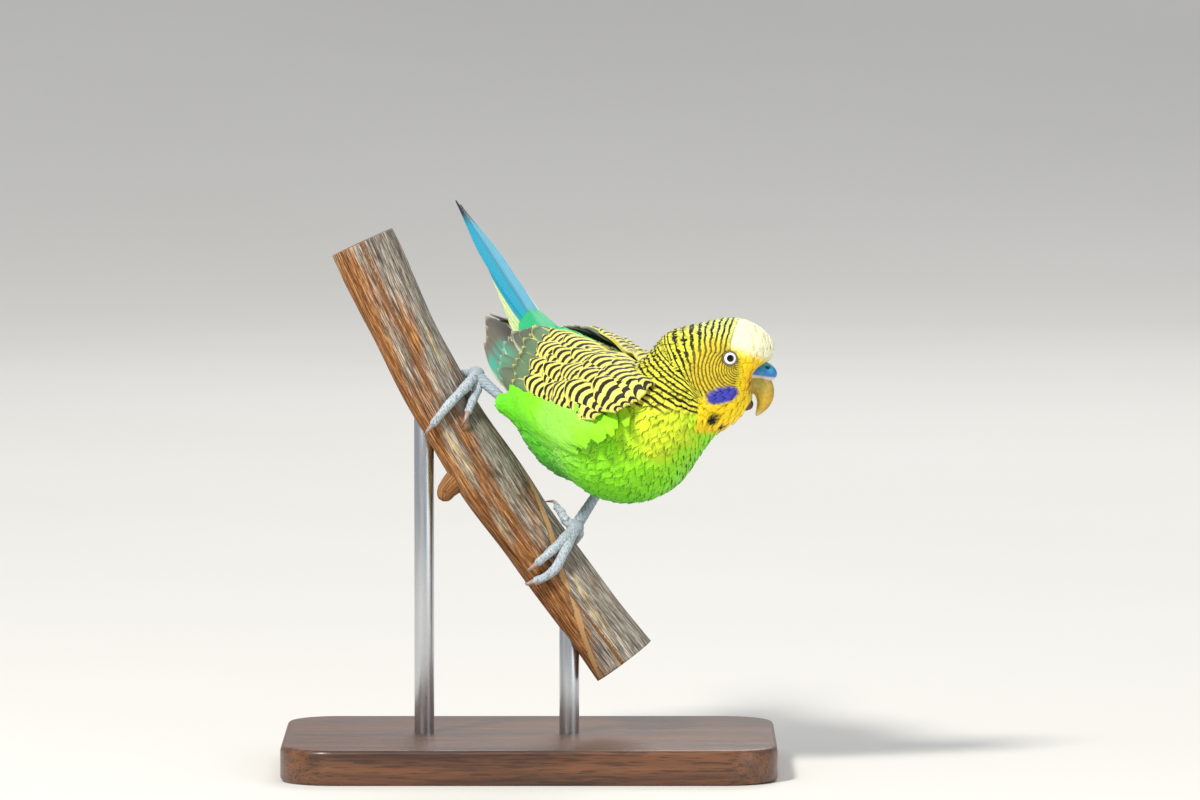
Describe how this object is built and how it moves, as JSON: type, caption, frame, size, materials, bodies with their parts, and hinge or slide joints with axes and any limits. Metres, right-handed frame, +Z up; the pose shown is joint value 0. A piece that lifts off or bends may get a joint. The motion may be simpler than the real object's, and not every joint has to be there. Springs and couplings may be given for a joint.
{
  "type": "budgerigar on a perch",
  "caption": "Life-size still budgerigar, a green and yellow parakeet with a blue cere, gripping a slanted dead branch on a small display stand.",
  "frame": {"origin": "middle of the underside of the stand's base", "axes": "+Z up, -Y towards the viewer of the picture, +X to the viewer's right, the way the bill points"},
  "size_m": [0.112, 0.1205, 0.1262],
  "materials": {
    "green_plumage": "soft feathers",
    "barred_plumage": "soft feathers barred black and yellow",
    "yellow_plumage": "soft feathers",
    "eye": "gloss",
    "cere": "satin skin",
    "bill": "satin horn",
    "wing_plumage": "feathers scalloped dark and yellow",
    "tail_plumage": "long stiff feathers",
    "foot_skin": "scaly skin",
    "claw": "satin horn",
    "dead_wood": "weathered, bare of bark",
    "base_wood": "satin",
    "rod_steel": "satin"
  },
  "bodies": {
    "root": {"torso": "green_plumage", "neck": "barred_plumage", "head": "yellow_plumage", "eye_right": "eye", "eye_left": "eye", "cere": "cere", "upper_bill": "bill", "lower_bill": "bill", "wing_right": "wing_plumage", "wing_left": "wing_plumage", "tail": "tail_plumage", "thigh_right": "green_plumage", "thigh_left": "green_plumage", "foot_right": "foot_skin", "foot_left": "foot_skin", "claw_right_1": "claw", "claw_right_2": "claw", "claw_right_3": "claw", "claw_right_4": "claw", "claw_left_1": "claw", "claw_left_2": "claw", "claw_left_3": "claw", "claw_left_4": "claw", "perch_branch": "dead_wood", "stand_base": "base_wood", "stand_rod_low": "rod_steel", "stand_rod_high": "rod_steel"}
  },
  "joints": []
}
